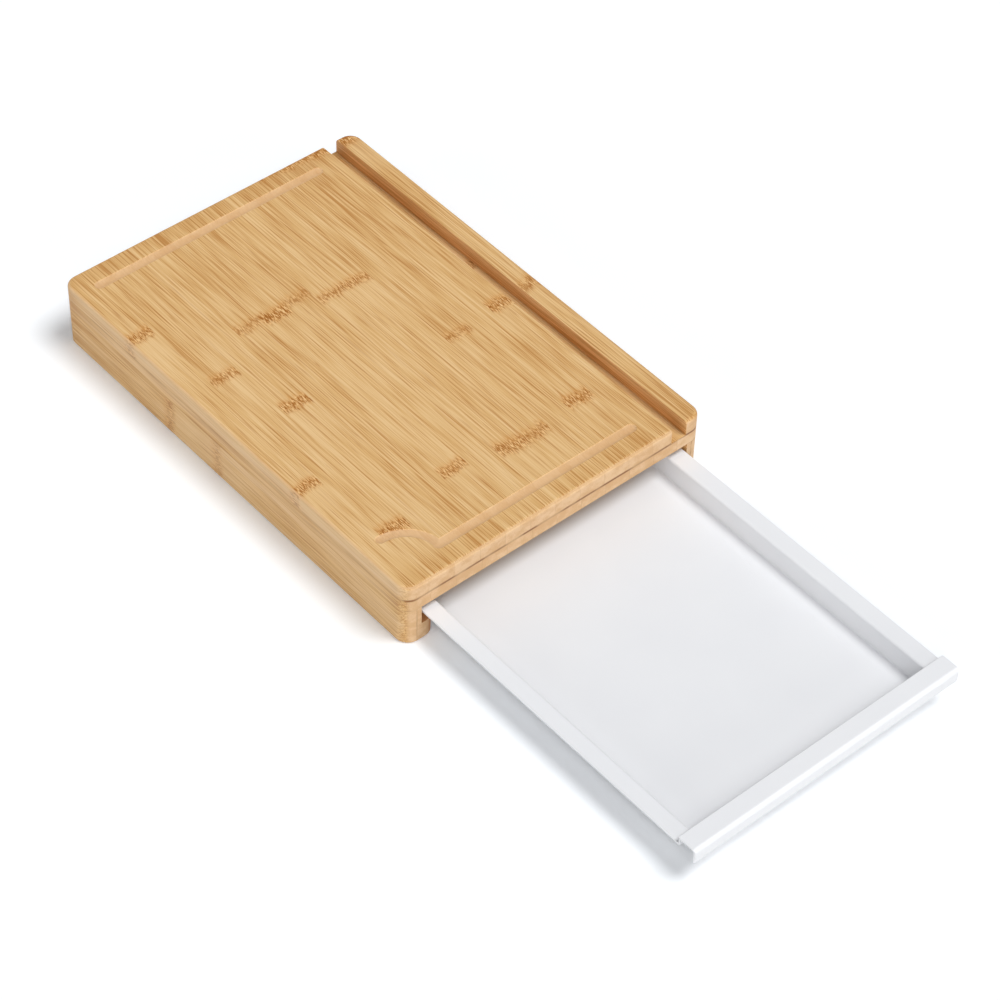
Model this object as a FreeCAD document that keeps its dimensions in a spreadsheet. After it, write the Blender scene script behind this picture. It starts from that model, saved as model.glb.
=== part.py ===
import FreeCAD, Part
import os

import Sketcher
from FreeCAD import Placement, Rotation, Vector

# A bamboo cutting board on two side rails, with one thin plastic tray that hangs by its flanges in
# grooves of the rails and draws out at the front.
#
# The board is two layers of strips glued edge to edge. The upper layer stops short of one long side,
# where a separate fence strip leaves a slot for a tablet or a cookbook. Each rail is two plies.
#
# Millimetres. +X is the way the tray draws out, +Y the side of the slot, +Z up. The pieces are modelled
# about the middle of the board, with the tray pushed in; then the board is moved back and the tray
# forward by half of what the tray is drawn out, so the origin lies on the table, under the middle of
# the whole object as it stands. Right and left are those of someone who pulls the tray: right is +Y.

SIZES = {
    # board
    "board_length": 380.0,
    "board_width": 260.0,
    "corner_radius": 10.0,
    "edge_round": 3.0,
    "upper_thickness": 12.0,
    "lower_thickness": 10.0,
    "upper_first_stave": 17.9,
    "upper_last_stave": 19.3,
    "lower_first_stave": 23.0,
    "lower_last_stave": 21.0,
    "fence_width": 15.5,
    "slot_width": 12.9,
    "mouth_ease": 0.5,
    # juice grooves in the top
    "groove_width": 8.0,
    "groove_depth": 2.0,
    "groove_inset": 20.0,
    "groove_slot_margin": 44.0,
    "groove_side_margin": 14.3,
    "scoop_radius": 27.0,
    "scoop_side_margin": 17.0,
    "scoop_width": 7.4,
    "scoop_depth": 1.6,
    # rails
    "rail_width": 26.2,
    "rail_height": 31.0,
    "outer_ply": 9.4,
    "groove_web": 3.9,
    "ledge_height": 23.2,
    "rear_stop": 10.0,
    "lip_seat_height": 15.0,
    "foot_chamfer": 0.8,
    # tray
    "tray_wall": 1.5,
    "lip_depth": 15.6,
    "lip_drop": 11.0,
    "lip_bend": 3.0,
    "lip_corner": 1.2,
    "lip_back_round": 0.7,
    "flange_corner": 1.5,
    "flange_bend": 2.1,
    "pan_corner": 6.0,
    "floor_round": 1.0,
    "wall_draft": 2.0,
    "floor_gap": 6.2,
    # clearances
    "flange_gap": 0.3,
    "flange_side_gap": 1.7,
    "pan_side_gap": 0.4,
    "lip_top_gap": 0.3,
    "lip_seat_gap": 1.4,
    "stop_gap": 0.3,
    # how far the tray stands drawn out
    "drawn_out": 258.1,
}

# Strips that each layer is glued from, and how close two places are that count as the same one.
UPPER_STAVES = 11
LOWER_STAVES = 12
CLOSE = 1e-4

doc = FreeCAD.newDocument("CuttingBoard")
sheet = doc.addObject("Spreadsheet::Sheet", "Sizes")
for row, (alias, number) in enumerate(SIZES.items(), start=1):
    sheet.set(f"A{row}", alias)
    sheet.set(f"B{row}", str(number))
    sheet.setAlias(f"B{row}", alias)
doc.recompute()

# Places worked out from the sizes, as expressions.
front = "(Sizes.board_length / 2)"
side = "(Sizes.board_width / 2)"
slot_outer = f"({side} - Sizes.fence_width)"
slot_inner = f"({slot_outer} - Sizes.slot_width)"
upper_level = "(Sizes.rail_height + Sizes.lower_thickness)"
top = f"({upper_level} + Sizes.upper_thickness)"

groove_x = f"({front} - Sizes.groove_inset)"
groove_high = f"({side} - Sizes.groove_slot_margin - Sizes.groove_width / 2)"
groove_low = f"(-{side} + Sizes.groove_side_margin + Sizes.groove_width / 2)"
scoop_y = f"(-{side} + Sizes.scoop_side_margin)"

rail_inner = f"({side} - Sizes.rail_width)"
ply_seam = f"({side} - Sizes.outer_ply)"
web_face = f"({ply_seam} - Sizes.groove_web)"

riser_x = f"({front} - Sizes.lip_depth)"
lip_top = "(Sizes.rail_height - Sizes.lip_top_gap)"
flange_level = "(Sizes.ledge_height + Sizes.flange_gap)"
pan_top = f"({flange_level} + Sizes.tray_wall)"
flange_y = f"({web_face} - Sizes.flange_side_gap)"
pan_y = f"({rail_inner} - Sizes.pan_side_gap)"
cavity_y = f"({pan_y} - Sizes.tray_wall)"
tray_rear = f"(-{front} + Sizes.rear_stop + Sizes.stop_gap)"
cavity_rear = f"({tray_rear} + {flange_y} - {cavity_y})"

board_x = "(-Sizes.drawn_out / 2)"
tray_x = "(Sizes.drawn_out / 2)"


def value(expression):
    """Number that an expression over the sheet gives now."""
    return float(sheet.evalExpression(expression))


def outline(body, name, role, corners, level="0"):
    """Closed sketch with straight sides on one of the body's own planes. Every corner follows the sheet."""
    sketch = body.newObject("Sketcher::SketchObject", name)
    plane = next(item for item in body.Origin.OriginFeatures if item.Role == role)
    sketch.AttachmentSupport = (plane, "")
    sketch.MapMode = "FlatFace"
    sketch.setExpression("AttachmentOffset.Base.z", level)
    points = [Vector(value(u), value(v), 0) for u, v in corners]
    for i, point in enumerate(points):
        sketch.addGeometry(Part.LineSegment(point, points[(i + 1) % len(points)]), False)
    for i in range(len(points)):
        sketch.addConstraint(Sketcher.Constraint("Coincident", i, 2, (i + 1) % len(points), 1))
    for i, (point, places) in enumerate(zip(points, corners)):
        for kind, number, place in zip(("DistanceX", "DistanceY"), (point.x, point.y), places):
            index = sketch.addConstraint(Sketcher.Constraint(kind, -1, 1, i, 1, number))
            sketch.renameConstraint(index, f"{kind}_{i}")
            sketch.setExpression(f"Constraints.{kind}_{i}", place)
    return sketch


def rectangle(body, name, x_range, y_range, level="0"):
    """Rectangle in plan at a level above the table."""
    (x0, x1), (y0, y1) = x_range, y_range
    return outline(body, name, "XY_Plane", [(x0, y0), (x1, y0), (x1, y1), (x0, y1)], level)


def pad(body, sketch, length, down=False, draft=None, middle=False):
    """Solid from a sketch; draft leans the sides in as they go."""
    feature = body.newObject("PartDesign::Pad", sketch.Name + "Pad")
    feature.Profile = sketch
    feature.Reversed = down
    feature.setExpression("Length", length)
    if middle:
        feature.SideType = "Symmetric"
    if draft:
        feature.setExpression("TaperAngle", f"-{draft}")
    doc.recompute()
    return feature


def pocket(body, sketch, depth=None, up=False, draft=None):
    """Cut from a sketch, through everything on that side where no depth is given."""
    before = body.Shape.Volume
    feature = body.newObject("PartDesign::Pocket", sketch.Name + "Pocket")
    feature.Profile = sketch
    feature.Reversed = up
    if depth:
        feature.setExpression("Length", depth)
    else:
        feature.Type = "ThroughAll"
    if draft:
        feature.setExpression("TaperAngle", f"-{draft}")
    doc.recompute()
    if not body.Shape.Volume < before - 1:
        raise RuntimeError(f"{feature.Name} cuts nothing")
    return feature


def ease(kind, body, name, size, chosen):
    """Fillet or chamfer on the edges of the body that the test picks."""
    base = body.Tip
    names = [f"Edge{n}" for n, edge in enumerate(base.Shape.Edges, start=1) if chosen(edge)]
    if not names:
        raise RuntimeError(f"{name} finds no edge")
    feature = body.newObject("PartDesign::" + kind, name)
    feature.Base = (base, names)
    feature.setExpression("Radius" if kind == "Fillet" else "Size", size)
    doc.recompute()
    return feature


def fillet(body, name, radius, chosen):
    return ease("Fillet", body, name, radius, chosen)


def same(a, b):
    return abs(a - b) < CLOSE


def upright(edge):
    """Whether an edge is a corner between two walls, so it rises more than it runs."""
    box = edge.BoundBox
    return box.ZLength > 4 * max(box.XLength, box.YLength)


def at_level(level):
    """Test for the edges that lie flat at a level."""
    z = value(level)
    return lambda edge: same(edge.BoundBox.ZMin, z) and same(edge.BoundBox.ZMax, z)


def along_y(x, level):
    """Test for the edge that runs across the board at a place of its side view."""
    x, z = value(x), value(level)
    def chosen(edge):
        box = edge.BoundBox
        return same(box.XMin, x) and same(box.XMax, x) and same(box.ZMin, z) and same(box.ZMax, z)
    return chosen


def primitive(kind, name, place=(), turn=None, **sizes):
    """Part primitive whose sizes and place follow the sheet."""
    item = doc.addObject(kind, name)
    for key, expression in sizes.items():
        item.setExpression(key, expression)
    if turn:
        item.Placement = Placement(Vector(), turn)
    for axis, expression in zip("xyz", place):
        item.setExpression(f"Placement.Base.{axis}", expression)
    return item


def part(kind, name, base, tool):
    """Boolean of two objects: Part::Cut or Part::Common."""
    item = doc.addObject(kind, name)
    item.Base = base
    item.Tool = tool
    return item


def fused(name, items):
    item = doc.addObject("Part::MultiFuse", name)
    item.Shapes = items
    item.Refine = True
    return item


nodes = []


def finish(item, node, shift):
    """Name a finished piece and move it to its place along X."""
    item.Label = node
    item.setExpression("Placement.Base.x", shift)
    nodes.append(item)


def strip(blank, node, y_low, y_high):
    """One glued strip: what a blank has between two lines along its length."""
    knife = primitive(
        "Part::Box",
        node + "_knife",
        (f"-{front}", y_low, "0"),
        Length="Sizes.board_length",
        Width=f"{y_high} - {y_low}",
        Height=top,
    )
    finish(part("Part::Common", node + "_strip", blank, knife), node, board_x)


def staves(blank, layer, y_high, count):
    """Strips across a layer: a first and a last one that were trimmed to size, and equal ones between."""
    first, last = f"Sizes.{layer}_first_stave", f"Sizes.{layer}_last_stave"
    pitch = f"(({y_high} + {side} - {first} - {last}) / {count - 2})"
    seams = [y_high] + [f"({y_high} - {first} - {i} * {pitch})" for i in range(count - 1)] + [f"(-{side})"]
    for i in range(count):
        strip(blank, f"{layer}_stave_{i + 1:02d}", seams[i + 1], seams[i])


def plank(name, x_range, y_range, level, thickness, radius):
    """Body of a flat board whose upright corners are rounded in plan."""
    body = doc.addObject("PartDesign::Body", name)
    pad(body, rectangle(body, name + "Plan", x_range, y_range, level), thickness)
    fillet(body, name + "Corners", radius, upright)
    return body


def nose(kind):
    """Radius and height of a ball-nosed cutter that leaves the stated width and depth in the top."""
    width, depth = f"Sizes.{kind}_width", f"Sizes.{kind}_depth"
    radius = f"(({width} ^ 2 / 4 + {depth} ^ 2) / (2 * {depth}))"
    return radius, f"({top} - {depth} + {radius})"


def half_ball(name, place, radius, turn):
    """Half of a ball, whose flat side closes on the end of a straight or curved cut."""
    item = primitive("Part::Sphere", name, place, Rotation(Vector(0, 0, 1), turn), Radius=radius)
    item.Angle3 = 180
    return item


def juice_grooves():
    """Ball-nosed cuts: a straight one at the back, and one at the front that turns into a quarter scoop."""
    radius, level = nose("groove")
    scoop_nose, scoop_level = nose("scoop")
    turn = f"({scoop_y} + Sizes.scoop_radius)"
    cuts = []
    for name, x, low in (("BackGroove", f"-{groove_x}", groove_low), ("FrontGroove", groove_x, turn)):
        run = primitive(
            "Part::Cylinder",
            name,
            (x, groove_high, level),
            Rotation(Vector(1, 0, 0), 90),
            Radius=radius,
            Height=f"{groove_high} - {low}",
        )
        cuts += [run, half_ball(name + "Right", (x, groove_high, level), radius, 0)]
        cuts += [half_ball(name + "Left", (x, low, level), radius, 180)]
    scoop = primitive(
        "Part::Torus",
        "Scoop",
        (groove_x, scoop_y, scoop_level),
        Rotation(Vector(0, 0, 1), 90),
        Radius1="Sizes.scoop_radius",
        Radius2=scoop_nose,
    )
    scoop.Angle3 = 90
    scoop_end = (f"{groove_x} - Sizes.scoop_radius", scoop_y, scoop_level)
    cuts += [scoop, half_ball("ScoopEnd", scoop_end, scoop_nose, 180)]
    return fused("JuiceGrooves", cuts)


def upper_layer():
    """Cutting surface: the staves and, beyond the slot, the fence strip."""
    ends = (f"-{front}", front)
    body = plank(
        "UpperLayer",
        ends,
        (f"-{side}", side),
        upper_level,
        "Sizes.upper_thickness",
        "Sizes.corner_radius",
    )
    body.AllowCompound = True
    fillet(body, "TopRound", "Sizes.edge_round", at_level(top))
    slot = rectangle(body, "Slot", ends, (slot_inner, slot_outer), upper_level)
    pocket(body, slot, up=True)
    mouth = [value(slot_inner), value(slot_outer)]
    flat = at_level(top)
    fillet(
        body,
        "SlotMouth",
        "Sizes.mouth_ease",
        lambda edge: flat(edge) and any(same(edge.CenterOfMass.y, y) for y in mouth),
    )
    blank = part("Part::Cut", "GroovedLayer", body, juice_grooves())
    staves(blank, "upper", slot_inner, UPPER_STAVES)
    strip(blank, "fence_strip", slot_outer, side)


def lower_layer():
    """Layer that carries the cutting surface and is the floor of the slot."""
    blank = plank(
        "LowerLayer",
        (f"-{front}", front),
        (f"-{side}", side),
        "Sizes.rail_height",
        "Sizes.lower_thickness",
        "Sizes.corner_radius",
    )
    staves(blank, "lower", side, LOWER_STAVES)


def rail(hand, sign):
    """Side rail of two plies. The inner ply has the groove that the tray's flange runs in: open to the
    board above and at the front, closed at the back, and deeper at the front, where the lip goes in."""
    def across(*places):
        return tuple(f"({sign} * {place})" for place in places)

    name = "Rail" + hand.capitalize()
    body = plank(
        name, (f"-{front}", front), across(rail_inner, side), "0", "Sizes.rail_height", "Sizes.corner_radius"
    )
    ease("Chamfer", body, name + "Foot", "Sizes.foot_chamfer", at_level("0"))
    width = across(f"({rail_inner} - Sizes.corner_radius)", web_face)
    ahead = f"({front} + Sizes.corner_radius)"
    stop = f"(-{front} + Sizes.rear_stop)"
    seat = f"({riser_x} - Sizes.lip_seat_gap)"
    pocket(body, rectangle(body, name + "Groove", (stop, ahead), width, "Sizes.ledge_height"), up=True)
    pocket(body, rectangle(body, name + "LipSeat", (seat, ahead), width, "Sizes.lip_seat_height"), up=True)
    inner = sorted(across(rail_inner, ply_seam), key=value)
    outer = sorted(across(ply_seam, side), key=value)
    strip(body, f"rail_inner_ply_{hand}", *inner)
    strip(body, f"rail_outer_ply_{hand}", *outer)


def rear_corner(x):
    """Test for the two upright corners of the pan's back wall, on its inside or its outside."""
    x, slack = value(x), value("Sizes.tray_wall") / 2
    return lambda edge: upright(edge) and abs(edge.BoundBox.XMin - x) < slack


def rim(rear, half_width, level):
    """Test for the edges where the flange meets the side walls and the back wall, but not the front."""
    x0, x1, y = value(rear), value(riser_x), value(half_width)
    flat = at_level(level)

    def chosen(edge):
        box = edge.BoundBox
        inside = box.XMin > x0 - CLOSE and box.YMin > -y - CLOSE and box.YMax < y + CLOSE
        return flat(edge) and inside and box.XMin < x1 - CLOSE

    return chosen


def tray_pan():
    """Moulded pan with leaning walls and a flange round three sides. Its bends keep the wall's thickness."""
    body = doc.addObject("PartDesign::Body", "Pan")
    wall = "Sizes.tray_wall"
    ahead = f"({riser_x} + {wall})"
    flange = rectangle(body, "Flange", (tray_rear, ahead), (f"-{flange_y}", flange_y), flange_level)
    pad(body, flange, wall)
    fillet(body, "FlangeCorners", "Sizes.flange_corner", upright)
    rear = f"({cavity_rear} - {wall})"
    shell = rectangle(body, "Shell", (rear, ahead), (f"-{pan_y}", pan_y), pan_top)
    pad(body, shell, f"{pan_top} - Sizes.floor_gap", down=True, draft="Sizes.wall_draft")
    cavity = rectangle(body, "Cavity", (cavity_rear, riser_x), (f"-{cavity_y}", cavity_y), pan_top)
    pocket(body, cavity, f"{pan_top} - Sizes.floor_gap - {wall}", draft="Sizes.wall_draft")
    fillet(body, "CavityCorners", "Sizes.pan_corner", rear_corner(cavity_rear))
    fillet(body, "ShellCorners", f"Sizes.pan_corner + {wall}", rear_corner(rear))
    fillet(body, "RimBend", "Sizes.flange_bend", rim(cavity_rear, cavity_y, pan_top))
    fillet(body, "UnderRimBend", f"Sizes.flange_bend - {wall}", rim(rear, pan_y, flange_level))
    fillet(body, "FloorEdge", "Sizes.floor_round", at_level(f"Sizes.floor_gap + {wall}"))
    fillet(body, "UnderFloorEdge", f"Sizes.floor_round + {wall}", at_level("Sizes.floor_gap"))
    return body


def tray_lip():
    """Hooked lip: a riser, a level top and a plate that turns down at the front."""
    wall = "Sizes.tray_wall"
    body = doc.addObject("PartDesign::Body", "Lip")
    hook_low = f"({lip_top} - Sizes.lip_drop)"
    inner_bend = along_y(f"({front} - {wall})", f"({lip_top} - {wall})")
    section = outline(
        body,
        "LipSection",
        "XZ_Plane",
        [
            (riser_x, flange_level),
            (f"({riser_x} + {wall})", flange_level),
            (f"({riser_x} + {wall})", f"({lip_top} - {wall})"),
            (f"({front} - {wall})", f"({lip_top} - {wall})"),
            (f"({front} - {wall})", hook_low),
            (front, hook_low),
            (front, lip_top),
            (riser_x, lip_top),
        ],
    )
    pad(body, section, f"2 * {flange_y}", middle=True)
    fillet(body, "LipBendOuter", "Sizes.lip_bend", along_y(front, lip_top))
    fillet(body, "LipBendInner", f"Sizes.lip_bend - {wall}", inner_bend)
    fillet(body, "LipBack", "Sizes.lip_back_round", along_y(riser_x, lip_top))
    plan = plank(
        "LipPlan",
        (riser_x, front),
        (f"-{flange_y}", flange_y),
        hook_low,
        "Sizes.lip_drop",
        "Sizes.lip_corner",
    )
    return part("Part::Common", "RoundedLip", body, plan)


def tray():
    finish(fused("Tray", [tray_pan(), tray_lip()]), "tray", tray_x)


upper_layer()
lower_layer()
rail("left", -1)
rail("right", 1)
tray()
doc.recompute()

for item in doc.Objects:
    if "Invalid" in item.State or "Error" in item.State:
        raise RuntimeError(f"{item.Name} failed: {item.State}")
for item in nodes:
    if item.Shape.isNull() or not item.Shape.isValid() or not item.Shape.Solids:
        raise RuntimeError(f"{item.Label} has no valid solid")

os.makedirs("parts", exist_ok=True)
for item in nodes:
    item.Shape.exportStep(f"parts/{item.Label}.step")
    print(f"{item.Label}: {len(item.Shape.Solids)} solid, {item.Shape.Volume / 1000:.2f} cm3")
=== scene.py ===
import math

import bpy
import numpy as np
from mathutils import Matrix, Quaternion, Vector


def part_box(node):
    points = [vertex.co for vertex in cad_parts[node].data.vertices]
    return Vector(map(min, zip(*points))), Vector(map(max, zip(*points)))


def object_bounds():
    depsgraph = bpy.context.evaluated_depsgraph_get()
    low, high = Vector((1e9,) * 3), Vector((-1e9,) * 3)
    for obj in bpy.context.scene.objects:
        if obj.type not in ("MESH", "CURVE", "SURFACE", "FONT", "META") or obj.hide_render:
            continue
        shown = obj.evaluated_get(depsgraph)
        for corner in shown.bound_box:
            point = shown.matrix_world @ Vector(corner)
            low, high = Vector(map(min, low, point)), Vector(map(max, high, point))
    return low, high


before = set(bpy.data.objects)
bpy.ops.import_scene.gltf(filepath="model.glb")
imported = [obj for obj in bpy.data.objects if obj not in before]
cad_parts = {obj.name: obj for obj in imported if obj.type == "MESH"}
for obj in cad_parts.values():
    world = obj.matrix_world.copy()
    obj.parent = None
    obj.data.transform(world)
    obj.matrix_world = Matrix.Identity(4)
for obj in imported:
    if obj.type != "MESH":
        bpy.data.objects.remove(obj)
cadLow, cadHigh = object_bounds()
print("frame loaded:", len(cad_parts), "pieces")

mm = 0.001

# how far a seed moves a noise along x, y and z, and where seed 0 is
noiseShifts = [(3.7, 1.3), (5.1, 2.9), (2.3, 4.1)]


# a swatch colour, 0 to 255 a channel, as the linear colour that a socket takes
def swatch(red, green, blue):
    part = np.array([red, green, blue]) / 255
    linear = np.where(part <= 0.04045, part / 12.92, ((part + 0.055) / 1.055) ** 2.4)
    return (*linear.tolist(), 1.0)


# A number or colour on its way through a material. The signs + - * / add Math nodes.
class Wire:
    def __init__(self, finish, socket):
        self.finish, self.socket = finish, socket

    def math(self, operation, *values):
        return self.finish.add("ShaderNodeMath", {"operation": operation}, dict(enumerate(values)))

    def __add__(self, other):
        return self.math("ADD", self, other)

    def __radd__(self, other):
        return self.math("ADD", other, self)

    def __sub__(self, other):
        return self.math("SUBTRACT", self, other)

    def __rsub__(self, other):
        return self.math("SUBTRACT", other, self)

    def __mul__(self, other):
        return self.math("MULTIPLY", self, other)

    def __rmul__(self, other):
        return self.math("MULTIPLY", other, self)

    def __truediv__(self, other):
        return self.math("DIVIDE", self, other)

    def __rtruediv__(self, other):
        return self.math("DIVIDE", other, self)

    def __abs__(self):
        return self.math("ABSOLUTE", self)

    def most(self, other):
        return self.math("MAXIMUM", self, other)

    # how far a noise, which runs from 0 to 1, lies from its middle, times share
    def swing(self, share):
        return (self - 0.5) * share

    # 0 below low, 1 above high and a smooth rise between; falls instead where low is above high
    def rise(self, low, high):
        if low > high:
            return 1 - self.rise(high, low)
        settings = {"interpolation_type": "SMOOTHSTEP"}
        return self.finish.add("ShaderNodeMapRange", settings, {0: self, 1: low, 2: high, 3: 0.0, 4: 1.0})


# The nodes of a material, or of the world, under construction.
class Finish:
    def __init__(self, owner):
        self.owner = owner
        owner.use_nodes = True
        self.tree = owner.node_tree
        self.tree.nodes.clear()

    # one node: its settings first, then a value or a wire for each socket
    def add(self, kind, settings=None, sockets=None, out=0):
        made = self.tree.nodes.new(kind)
        for key, value in (settings or {}).items():
            setattr(made, key, value)
        for key, value in (sockets or {}).items():
            if isinstance(value, Wire):
                self.tree.links.new(value.socket, made.inputs[key])
            else:
                made.inputs[key].default_value = value
        return Wire(self, made.outputs[out]) if made.outputs else None

    # the Object output: the place in the frame, as every object sits at the origin
    def place(self):
        return self.add("ShaderNodeTexCoord", out=3)

    # the Normal output: which way the surface faces
    def normal(self):
        return self.add("ShaderNodeTexCoord", out=1)

    # x, y and z of a vector as three numbers
    def split(self, vector):
        first = self.add("ShaderNodeSeparateXYZ", sockets={0: vector})
        outputs = first.socket.node.outputs
        return [Wire(self, outputs[axis]) for axis in range(3)]

    # Smooth noise from 0 to 1, stretched by sizes in metres along x, y and z. A pattern has its own seed,
    # and strip is added to it so that no two strips are alike.
    def noise(self, place, sizes, seed=0, detail=2.0, rough=0.5, strip=0):
        stretch = [1 / size for size in sizes]
        shift = [(strip + seed) * step + start for step, start in noiseShifts]
        scaled = self.add(
            "ShaderNodeVectorMath", {"operation": "MULTIPLY_ADD"}, {0: place, 1: stretch, 2: shift}
        )
        return self.add(
            "ShaderNodeTexNoise", {}, {"Vector": scaled, "Scale": 1.0, "Detail": detail, "Roughness": rough}
        )

    # sockets 6 and 7 are the two colours, and 4 and 5 the two vectors
    def mix(self, amount, first, second):
        settings = {"data_type": "RGBA"}
        return self.add("ShaderNodeMix", settings, {0: amount, 6: first, 7: second}, out=2)

    def mixVectors(self, amount, first, second):
        settings = {"data_type": "VECTOR"}
        return self.add("ShaderNodeMix", settings, {0: amount, 4: first, 5: second}, out=1)

    # the normal of a fine relief, on top of another normal where one is given
    def bump(self, height, distance, normal=None):
        sockets = {"Distance": distance, "Height": height}
        if normal:
            sockets["Normal"] = normal
        return self.add("ShaderNodeBump", {}, sockets)

    def surface(self, **sockets):
        named = {key.replace("_", " "): value for key, value in sockets.items()}
        shader = self.add("ShaderNodeBsdfPrincipled", {}, named)
        self.add("ShaderNodeOutputMaterial", {}, {"Surface": shader})
        return self.owner

    # 1 for the rays that show a backdrop as it looks, 0 for the rays that carry its light
    def seen(self):
        outputs = self.add("ShaderNodeLightPath").socket.node.outputs
        names = ("Is Camera Ray", "Is Glossy Ray", "Is Transmission Ray")
        camera, glossy, through = [Wire(self, outputs[name]) for name in names]
        return camera.most(glossy).most(through)


# bamboo strips: their colours, among them painted side light and painted shade, and the fineness of the
# surface
bamboo = {
    "pale": swatch(227, 191, 139),
    "honey": swatch(214, 172, 113),
    "deep": swatch(184, 131, 70),
    "thread": swatch(168, 108, 48),
    "cutPale": swatch(225, 189, 147),
    "cutDeep": swatch(211, 169, 122),
    # painted light: the paler, greyer colour of the faces turned to the left
    "paintedSideLight": swatch(227, 196, 156),
    # painted shade: a darker, redder copy of the grain, deep and pale, for walls in shade
    "shadedDeep": swatch(204, 148, 84),
    "shadedPale": swatch(246, 198, 138),
    # painted shade: the orange-brown of the rails' rounded inner ends in shade
    "paintedInnerShade": swatch(206, 138, 86),
    "knuckleTint": swatch(203, 139, 66),
    "knuckle": swatch(154, 94, 28),
    "knuckleLight": swatch(244, 208, 150),
    "glue": swatch(128, 76, 34),
    "roughness": 0.55,
    "roughnessSwing": 0.25,
    "specular": 0.3,
    "grainHeight": 0.06 * mm,
    "seedStep": 1.618,
}
topLevel = cadHigh.z
boardMiddle = sum(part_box("upper_stave_06")[side].x for side in (0, 1)) / 2

# Where the knuckles of the cane cross each strip: middle along the board, width along it, strength.
# Millimetres, from the middle of the board.
knuckles = {
    "upper_stave_01": [(22, 11, 1.0), (-187, 9, 0.9)],
    "upper_stave_02": [(126, 11, 0.9), (-188, 9, 0.8)],
    "upper_stave_03": [(26, 9, 0.55), (-189, 8, 0.5)],
    "upper_stave_04": [(132, 11, 0.7), (-60, 9, 0.8)],
    "upper_stave_05": [(132, 12, 0.85), (-60, 9, 0.7)],
    "upper_stave_06": [(-72, 10, 0.5)],
    "upper_stave_07": [(123, 9, 0.85), (-69, 11, 1.0)],
    "upper_stave_08": [(-71, 10, 0.5)],
    "upper_stave_09": [(10, 10, 0.95)],
    "upper_stave_10": [(141, 11, 1.0), (-41, 9, 0.7)],
    "upper_stave_11": [(75, 9, 0.9), (-110, 10, 0.9)],
    "fence_strip": [(18, 11, 0.7), (-186, 14, 1.2)],
    "lower_stave_01": [(-33, 9, 0.7)],
    "rail_outer_ply_left": [(-66, 10, 0.6), (-12, 9, 0.6)],
}


# The marks of a knuckle. A pair is where a mark starts to show and where it is full: as a distance from its
# middle, in widths of the knuckle, or as a value of the noise that draws its strokes or blotches.
knuckleLook = {
    "ragged": {"sizes": (0.5, 1.4 * mm, 1.4 * mm), "detail": 1.0},
    "raggedSwing": 0.9,
    "slow": {"sizes": (0.5, 9 * mm, 9 * mm), "detail": 1.0},
    "slowSwing": 0.7,
    "strokes": {"sizes": (4.2 * mm, 0.75 * mm, 0.75 * mm), "rough": 0.6},
    "halo": (2.4, 0.4),
    "haloMiddle": 1.6,
    "haloBlotches": (0.3, 0.6),
    "haloShare": 0.35,
    "tint": (0.95, 0.15),
    "tintMiddle": -0.1,
    "tintShare": 0.6,
    "band": (0.75, 0.25),
    "paleStrokes": (0.47, 0.37),
    "paleShare": 0.8,
    "darkStrokes": (0.49, 0.58),
    "core": (0.3, 0.05),
    "coreStrokes": (0.38, 0.56),
    "coreShare": 0.6,
}


# short strokes along the grain, dark and pale, that end unevenly, and a pale zone beside them
def knuckleMarks(finish, color, place, strip, blotches, marks):
    look = knuckleLook
    x = finish.split(place)[0]
    for middle, width, strength in marks:
        ragged = finish.noise(place, **look["ragged"], seed=middle, strip=strip)
        slow = finish.noise(place, **look["slow"], seed=-middle, strip=strip)
        strokes = finish.noise(place, **look["strokes"], seed=middle * 2, strip=strip)
        jitter = ragged.swing(look["raggedSwing"]) + slow.swing(look["slowSwing"])
        offset = (x - (boardMiddle + middle * mm)) / (width * mm) + jitter
        halo = abs(offset - look["haloMiddle"]).rise(*look["halo"]) * blotches.rise(*look["haloBlotches"])
        tint = abs(offset - look["tintMiddle"]).rise(*look["tint"])
        band = abs(offset).rise(*look["band"])
        core = abs(offset).rise(*look["core"])
        color = finish.mix(halo * look["haloShare"] * strength, color, bamboo["pale"])
        color = finish.mix(tint * look["tintShare"] * strength, color, bamboo["knuckleTint"])
        pale = band * strokes.rise(*look["paleStrokes"]) * look["paleShare"] * strength
        color = finish.mix(pale, color, bamboo["knuckleLight"])
        dark = band * strokes.rise(*look["darkStrokes"]) * strength
        color = finish.mix(dark, color, bamboo["knuckle"])
        darkest = core * strokes.rise(*look["coreStrokes"]) * look["coreShare"] * strength
        color = finish.mix(darkest, color, bamboo["knuckle"])
    return color


# Thin glue lines at the joints. Pairs are where a line starts to show and where it is full: edge in half
# widths of the line, facingAway by how squarely a face looks along the joint's axis, facingEnd along X.
glueLook = {
    "patches": {"sizes": (22 * mm, 22 * mm, 9 * mm), "seed": 71},
    "patchEdge": (0.35, 0.6),
    "plainShare": 0.3,
    "patchShare": 0.7,
    "edge": (1.5, 0.4),
    "facingAway": (0.8, 0.5),
    "facingEnd": (0.4, 0.8),
    "sideShare": 0.25,
    "endShare": 0.75,
}


# joints are the glued faces as (axis, place, half width in millimetres, strength)
def glueLines(finish, color, place, facing, joints):
    look = glueLook
    axes = finish.split(place)
    patchy = finish.noise(place, **look["patches"]).rise(*look["patchEdge"])
    for axis, where, half, strength in joints:
        line = abs(axes[axis] - where).rise(*(half * edge * mm for edge in look["edge"]))
        away = facing[axis].rise(*look["facingAway"])
        ends = look["sideShare"] + facing[0].rise(*look["facingEnd"]) * look["endShare"]
        worn = look["plainShare"] + patchy * look["patchShare"]
        color = finish.mix(line * away * ends * worn * strength, color, bamboo["glue"])
    return color


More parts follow.
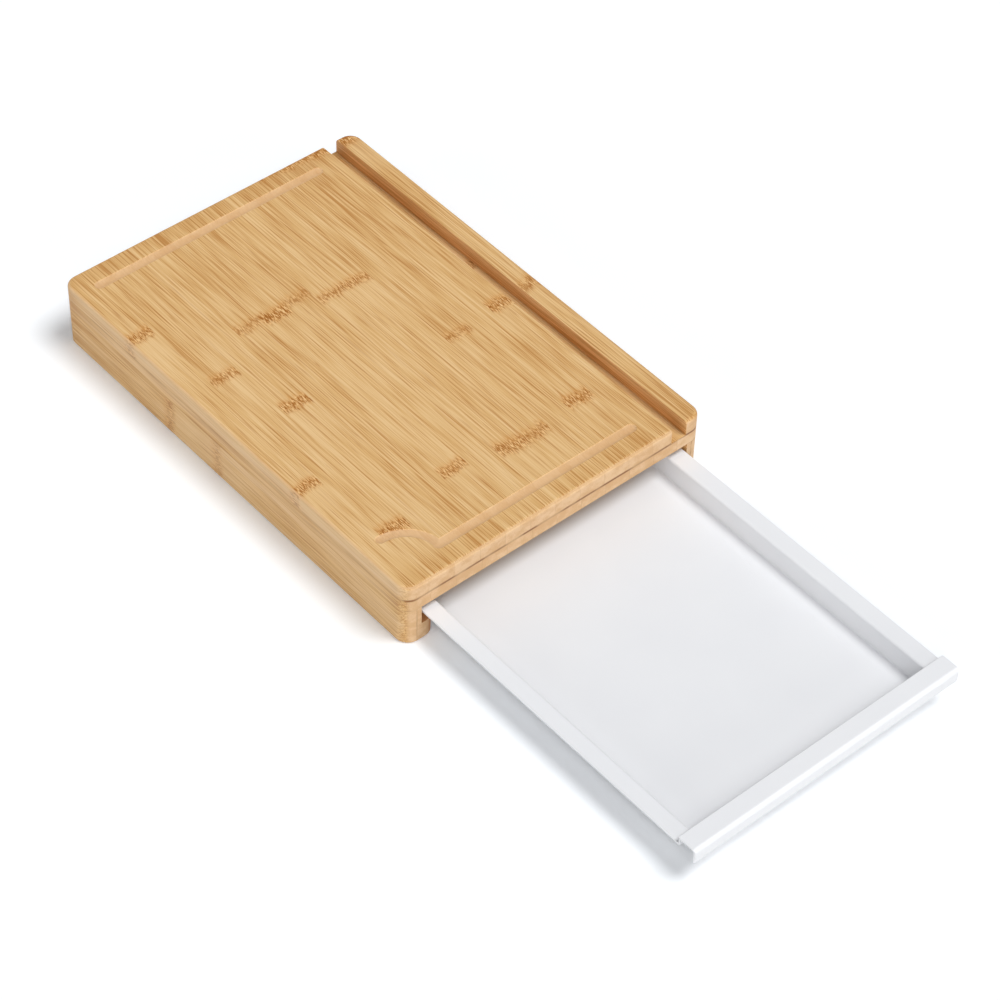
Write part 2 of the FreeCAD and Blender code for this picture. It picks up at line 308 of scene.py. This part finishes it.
# The grain of a strip. Its tone runs from 0, deep, to about 1, pale. A swing moves the tone both ways, and
# a share one way, apart from threadShare, which mixes in the thread colour. Pairs are where a change starts
# and where it is full. The reliefs are what fibres and streaks give to the height of the surface.
grain = {
    "tone": 0.45,
    "bands": {"sizes": (0.16, 7 * mm, 7 * mm)},
    "bandSwing": 0.65,
    "blotches": {"sizes": (0.06, 14 * mm, 14 * mm), "seed": 5},
    "blotchSwing": 0.6,
    "streaks": {"sizes": (0.09, 1.45 * mm, 1.45 * mm), "seed": 11, "rough": 0.7},
    "streakSwing": 0.85,
    "fibres": {"sizes": (0.045, 0.7 * mm, 0.7 * mm), "seed": 23, "detail": 1.0},
    "fibreSwing": 2.5,
    "front": (-0.15, -0.06),  # the front is paler than the rear; metres from the middle of the board
    "frontShare": 0.1,
    "margins": (0.166, 0.182),  # both ends are deeper; metres from the middle of the board
    "marginShare": 0.2,
    "deepToHoney": (-0.1, 0.5),
    "honeyToPale": (0.4, 1.05),
    "threads": {"sizes": (0.13, 2.1 * mm, 2.1 * mm), "seed": 37, "detail": 1.0},
    "threadEdge": (0.035, 0.008),
    "threadStreaks": (0.62, 0.38),
    "threadShare": 0.45,
    "fibreRelief": 0.5,
    "streakRelief": 0.5,
}

# The ends, and the grooves in the top, are cut across the fibres, and the grooves are deepened in colour too,
# a painted shade. Pairs are where the cut look starts and where it is full, by how squarely a face looks
# along X, or up. grooveDepth is a depth below the top, smooth is the share of the relief that a cut loses,
# and grooveSoft the share of its slope that a groove loses.
cutLook = {
    "tone": 0.5,
    "dots": {"sizes": (0.02, 0.9 * mm, 0.9 * mm), "seed": 51, "rough": 0.6},
    "dotSwing": 0.9,
    "patches": {"sizes": (9 * mm, 9 * mm, 6 * mm), "seed": 57},
    "patchSwing": 1.8,
    "deepToPale": (0.1, 0.9),
    "facing": (0.6, 0.92),
    "smooth": 0.7,
    "grooveDepth": (0.1 * mm, 0.7 * mm),
    "grooveFacingUp": (0.5, 0.7),
    "grooveFacing": (0.97, 0.9),
    "grooveShare": 0.85,
    "groovePaintedShade": 0.5,
    "grooveSoft": 0.6,
}

# Painted light and shade on the faces turned to a side: the left side paler and greyer, and painted shade on
# the wall of the slot, on the outside of the fence and on the rounded inner ends of the rails. Pairs are
# where a change
# starts and where it is full: left, slotWall and fenceOutside by the normal along Y, inner and innerWall by
# how squarely a face looks along X and Y, palerDepth by the depth below the top, and shadedTone by the tone.
sideLook = {
    "left": (-0.5, -0.95),
    "leftShare": 0.8,
    "paler": 0.25,
    "palerDepth": (24 * mm, 4 * mm),
    "palerShare": 0.35,
    "palerSwing": 1.4,
    "shadedTone": (0.0, 0.95),
    "slotWall": (-0.4, -0.9),
    "slotWallShare": 0.9,
    "fenceOutside": (0.2, 0.9),
    "fenceOutsideShare": 0.4,
    "inner": (0.995, 0.85),
    "innerShare": 0.8,
    "innerWall": (0.6, 0.95),
}


# bamboo with its grain along X
def bambooFinish(node, number, shade, marks, joints):
    finish = Finish(bpy.data.materials.new(node))
    place, normal = finish.place(), finish.normal()
    x, y, z = finish.split(place)
    toward = finish.split(normal)
    facing = [abs(part) for part in toward]
    strip = number * bamboo["seedStep"]

    bands, blotches, streaks, fibres, threads = [
        finish.noise(place, **grain[pattern], strip=strip)
        for pattern in ("bands", "blotches", "streaks", "fibres", "threads")
    ]
    front = x.rise(*(boardMiddle + edge for edge in grain["front"]))
    margins = abs(x - boardMiddle).rise(*grain["margins"])
    broad = bands.swing(grain["bandSwing"]) + blotches.swing(grain["blotchSwing"]) + shade
    broad = broad + front * grain["frontShare"] - margins * grain["marginShare"]
    tone = grain["tone"] + broad + streaks.swing(grain["streakSwing"]) + fibres.swing(grain["fibreSwing"])
    along = finish.mix(tone.rise(*grain["deepToHoney"]), bamboo["deep"], bamboo["honey"])
    along = finish.mix(tone.rise(*grain["honeyToPale"]), along, bamboo["pale"])
    thin = abs(threads.swing(1.0)).rise(*grain["threadEdge"]) * streaks.rise(*grain["threadStreaks"])
    along = finish.mix(thin * grain["threadShare"], along, bamboo["thread"])
    along = knuckleMarks(finish, along, place, strip, blotches, marks)

    dots = finish.noise(place, **cutLook["dots"], strip=strip)
    patches = finish.noise(place, **cutLook["patches"], strip=strip)
    cutTone = cutLook["tone"] + dots.swing(cutLook["dotSwing"]) + patches.swing(cutLook["patchSwing"]) + shade
    across = finish.mix(cutTone.rise(*cutLook["deepToPale"]), bamboo["cutDeep"], bamboo["cutPale"])
    cut = facing[0].rise(*cutLook["facing"])
    if node.startswith("upper"):
        below = z.rise(*(topLevel - depth for depth in cutLook["grooveDepth"]))
        groove = below * facing[2].rise(*cutLook["grooveFacingUp"])
        cut = cut.most(groove * facing[0].rise(*cutLook["grooveFacing"]) * cutLook["grooveShare"])
        # painted shade: the groove is deepened in colour, to damp the light on its walls
        across = finish.mix(groove * cutLook["groovePaintedShade"], across, bamboo["cutDeep"])
        # the rounded walls of a groove are sanded soft, so they catch the light less than their slope would
        soft = finish.mixVectors(groove * cutLook["grooveSoft"], normal, (0.0, 0.0, 1.0))
        normal = finish.add("ShaderNodeVectorMath", {"operation": "NORMALIZE"}, {0: soft})
    color = finish.mix(cut, along, across)

    # painted light: faces turned to the left (-Y) go paler and greyer, most near the top, following the grain
    # bands
    paler = z.rise(*(topLevel - depth for depth in sideLook["palerDepth"])) * sideLook["palerShare"]
    paler = paler + bands.swing(sideLook["palerSwing"]) + sideLook["paler"]
    left = toward[1].rise(*sideLook["left"]) * paler.rise(0.0, 1.0) * sideLook["leftShare"]
    color = finish.mix(left, color, bamboo["paintedSideLight"])
    # painted shade: the grain's tone drawn in the darker, redder shaded copy
    shaded = finish.mix(tone.rise(*sideLook["shadedTone"]), bamboo["shadedDeep"], bamboo["shadedPale"])
    if node == "fence_strip":
        # painted shade on the wall of the slot, which faces the left
        slotWall = toward[1].rise(*sideLook["slotWall"]) * sideLook["slotWallShare"]
        color = finish.mix(slotWall, color, shaded)
        # painted shade: the outer rounded side of the fence, turned away from the light, is darkened
        outside = toward[1].rise(*sideLook["fenceOutside"]) * sideLook["fenceOutsideShare"]
        color = finish.mix(outside, color, bamboo["deep"])
    # painted shade: the rounded inner ends of the rail plies turn orange-brown, and their inner walls take
    # the shaded copy
    if node.startswith("rail_inner"):
        inner = facing[0].rise(*sideLook["inner"])
        color = finish.mix(inner * sideLook["innerShare"], color, bamboo["paintedInnerShade"])
        color = finish.mix(inner * facing[1].rise(*sideLook["innerWall"]), color, shaded)
    color = glueLines(finish, color, place, facing, joints)

    height = fibres * grain["fibreRelief"] + streaks * grain["streakRelief"]
    relief = height * (1 - cut * cutLook["smooth"])
    return finish.surface(
        Base_Color=color,
        Roughness=bamboo["roughness"] + fibres.swing(bamboo["roughnessSwing"]),
        Specular_IOR_Level=bamboo["specular"],
        Normal=finish.bump(relief, bamboo["grainHeight"], normal),
    )


# the tray's white plastic, with a fine matt texture and a faint cloudiness
plastic = {
    "white": swatch(234, 235, 237),
    "shade": swatch(229, 230, 233),
    "clouds": {"sizes": (0.05, 0.05, 0.05), "seed": 3},
    "texture": {"sizes": (0.5 * mm, 0.5 * mm, 0.5 * mm), "seed": 5, "detail": 3.0, "rough": 0.6},
    "textureHeight": 0.02 * mm,
    "roughness": 0.42,
    "roughnessSwing": 0.2,
    "specular": 0.4,
}


def plasticFinish():
    finish = Finish(bpy.data.materials.new("trayPlastic"))
    place = finish.place()
    clouds = finish.noise(place, **plastic["clouds"])
    texture = finish.noise(place, **plastic["texture"])
    return finish.surface(
        Base_Color=finish.mix(clouds, plastic["white"], plastic["shade"]),
        Roughness=plastic["roughness"] + texture.swing(plastic["roughnessSwing"]),
        Specular_IOR_Level=plastic["specular"],
        Normal=finish.bump(texture, plastic["textureHeight"]),
    )


# half width in millimetres and strength of the lines, by what they join
glue = {
    "upperStaves": (0.3, 0.12),
    "lowerStaves": (0.3, 0.16),
    "layers": (0.9, 0.9),
    "layerToRail": (0.3, 0.4),
    "plies": (0.4, 0.55),
}


# the glued faces of a piece as (axis, place, half width in millimetres, strength); axis 1 is Y and 2 is Z
def jointsOf(node):
    low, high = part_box(node)
    found = []
    if "stave" in node:
        layer = "upperStaves" if node.startswith("upper") else "lowerStaves"
        found += [(1, side, *glue[layer]) for side in (low.y, high.y) if abs(side) < cadHigh.y - mm]
    if node.startswith(("upper", "fence")):
        found.append((2, low.z, *glue["layers"]))
    if node.startswith("lower"):
        found += [(2, high.z, *glue["layers"]), (2, low.z, *glue["layerToRail"])]
    if node.startswith("rail"):
        seam = low.y if node in ("rail_outer_ply_right", "rail_inner_ply_left") else high.y
        found += [(2, high.z, *glue["layerToRail"]), (1, seam, *glue["plies"])]
    return found


# how much paler, or deeper where below 0, a strip is than its neighbours, and by how much they all vary
shades = {node: -0.12 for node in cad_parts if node.startswith("lower")}
shades |= {
    "upper_stave_01": -0.08,
    "upper_stave_02": -0.08,
    "fence_strip": -0.08,
    # lower_stave_01 is the floor of the slot: painted light, paler to make up for the fence's shade on it
    "lower_stave_01": 0.1,
}
shadeSpread = 0.06
draws = np.random.default_rng(seed=12)
for number, node in enumerate(sorted(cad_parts)):
    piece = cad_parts[node]
    if node == "tray":
        piece.data.materials[0] = plasticFinish()
        continue
    shade = draws.uniform(-shadeSpread, shadeSpread) + shades.get(node, 0)
    piece.data.materials[0] = bambooFinish(node, number, shade, knuckles.get(node, []), jointsOf(node))
print("finishes made:", len(bpy.data.materials))


# The pale floor. What is seen of it is paper, a little lifted, and what lights the object is bounce.
floorLook = {
    "half": 6.0,
    "level": -0.2 * mm,  # just under the feet
    "bounce": (0.8, 0.8, 0.8, 1.0),
    "paper": (0.95, 0.975, 1.0, 1.0),
    "lift": 0.085,
}


def makeFloor():
    half, level = floorLook["half"], floorLook["level"]
    mesh = bpy.data.meshes.new("floor")
    corners = [(-half, -half, level), (half, -half, level), (half, half, level), (-half, half, level)]
    mesh.from_pydata(corners, [], [(0, 1, 2, 3)])
    floor = bpy.data.objects.new("floor", mesh)
    bpy.context.scene.collection.objects.link(floor)
    finish = Finish(bpy.data.materials.new("floorPaper"))
    bounce = finish.add("ShaderNodeBsdfDiffuse", {}, {"Color": floorLook["bounce"]})
    paper = finish.add("ShaderNodeBsdfDiffuse", {}, {"Color": floorLook["paper"]})
    lift = finish.add("ShaderNodeEmission", {}, {"Strength": floorLook["lift"]})
    lifted = finish.add("ShaderNodeAddShader", {}, {0: paper, 1: lift})
    both = finish.add("ShaderNodeMixShader", {}, {0: finish.seen(), 1: bounce, 2: lifted})
    # clear from below, so that the underside of the board can be looked at
    below = Wire(finish, finish.add("ShaderNodeNewGeometry").socket.node.outputs["Backfacing"])
    clear = finish.add("ShaderNodeBsdfTransparent")
    oneSided = finish.add("ShaderNodeMixShader", {}, {0: below, 1: both, 2: clear})
    finish.add("ShaderNodeOutputMaterial", {}, {"Surface": oneSided})
    mesh.materials.append(finish.owner)


# The sky, the white behind the object, and the lamps: the share of the light on a level surface that each
# gives, the direction it comes from and how wide it is, in degrees.
light = {
    "sky": 0.14,
    "skyColor": (0.96, 0.99, 1.05, 1.0),
    "backdrop": 1.0,
    "backdropColor": (1.0, 1.0, 1.0, 1.0),
    "lamps": {
        "overhead": {"from": (0.34, 0.25, 0.90), "share": 0.62, "width": 28},
        "fill": {"from": (0.56, -0.44, 0.70), "share": 0.14, "width": 24},
        "end": {"from": (0.99, -0.08, 0.13), "share": 0.037, "width": 40},
        "front": {"from": (0.10, -0.98, 0.15), "share": 0.053, "width": 50},
    },
}


def makeSky():
    world = bpy.data.worlds.new("studio")
    bpy.context.scene.world = world
    finish = Finish(world)
    sky, backdrop = [
        finish.add("ShaderNodeBackground", {}, {"Color": light[name + "Color"], "Strength": light[name]})
        for name in ("sky", "backdrop")
    ]
    both = finish.add("ShaderNodeMixShader", {}, {0: finish.seen(), 1: sky, 2: backdrop})
    finish.add("ShaderNodeOutputWorld", {}, {"Surface": both})


def makeLamp(name, look):
    toLamp = Vector(look["from"]).normalized()
    data = bpy.data.lights.new(name, "SUN")
    data.angle = math.radians(look["width"])
    data.energy = math.pi * look["share"] / toLamp.z
    lamp = bpy.data.objects.new(name, data)
    lamp.rotation_mode = "QUATERNION"
    lamp.rotation_quaternion = toLamp.to_track_quat("Z", "Y")
    bpy.context.scene.collection.objects.link(lamp)


# place, aim and clip in metres, roll in degrees, lens and sensor in millimetres
cameraLook = {
    "place": (1.1231, -1.0001, 1.5800),
    "aim": (-0.0016, 0.0039, 0.0),
    "roll": 1.815,
    "lens": 115.67,
    "sensor": 36.0,
    "clip": (0.1, 50.0),
}


def makeCamera():
    data = bpy.data.cameras.new("camera")
    data.lens = cameraLook["lens"]
    data.sensor_width = cameraLook["sensor"]
    data.clip_start, data.clip_end = cameraLook["clip"]
    camera = bpy.data.objects.new("camera", data)
    camera.location = cameraLook["place"]
    ahead = Vector(cameraLook["aim"]) - Vector(cameraLook["place"])
    camera.rotation_mode = "QUATERNION"
    turn = Quaternion((0, 0, 1), math.radians(cameraLook["roll"]))
    camera.rotation_quaternion = ahead.to_track_quat("-Z", "Y") @ turn
    bpy.context.scene.collection.objects.link(camera)
    bpy.context.scene.camera = camera


makeFloor()
makeSky()
for lampName, lampLook in light["lamps"].items():
    makeLamp(lampName, lampLook)
makeCamera()
bpy.context.scene.view_settings.view_transform = "Standard"
print("floor, light and camera set")
